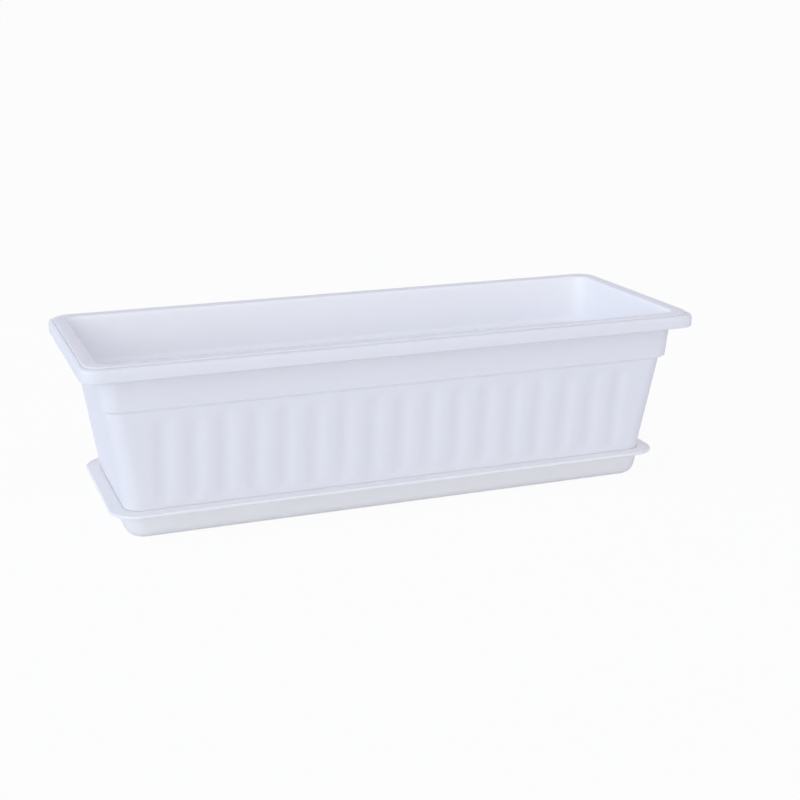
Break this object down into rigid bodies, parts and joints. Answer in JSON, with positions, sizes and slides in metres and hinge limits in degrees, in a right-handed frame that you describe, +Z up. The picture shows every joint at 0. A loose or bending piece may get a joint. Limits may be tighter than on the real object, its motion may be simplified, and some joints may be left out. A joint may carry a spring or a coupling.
{
  "type": "trough planter with drip tray",
  "caption": "Rectangular moulded planter trough with fluted tapered sides, a stepped collar and a turned-down rim, standing in a loose shallow drip tray.",
  "frame": {"origin": "under the middle of the drip tray, on the surface that it stands on", "axes": "+X along the trough's length, -Y to its front, +Z up"},
  "size_m": [0.466, 0.18, 0.135],
  "materials": {
    "trough_plastic": "satin, moulded polypropylene",
    "tray_plastic": "satin, moulded polypropylene"
  },
  "bodies": {
    "tray": {"drip_tray": "tray_plastic"},
    "trough": {"trough": "trough_plastic"}
  },
  "joints": [
    {"name": "trough_lift", "type": "slide", "parent": "tray", "child": "trough", "axis": [0, 0, 1], "range_m": [0, 0.08]}
  ]
}
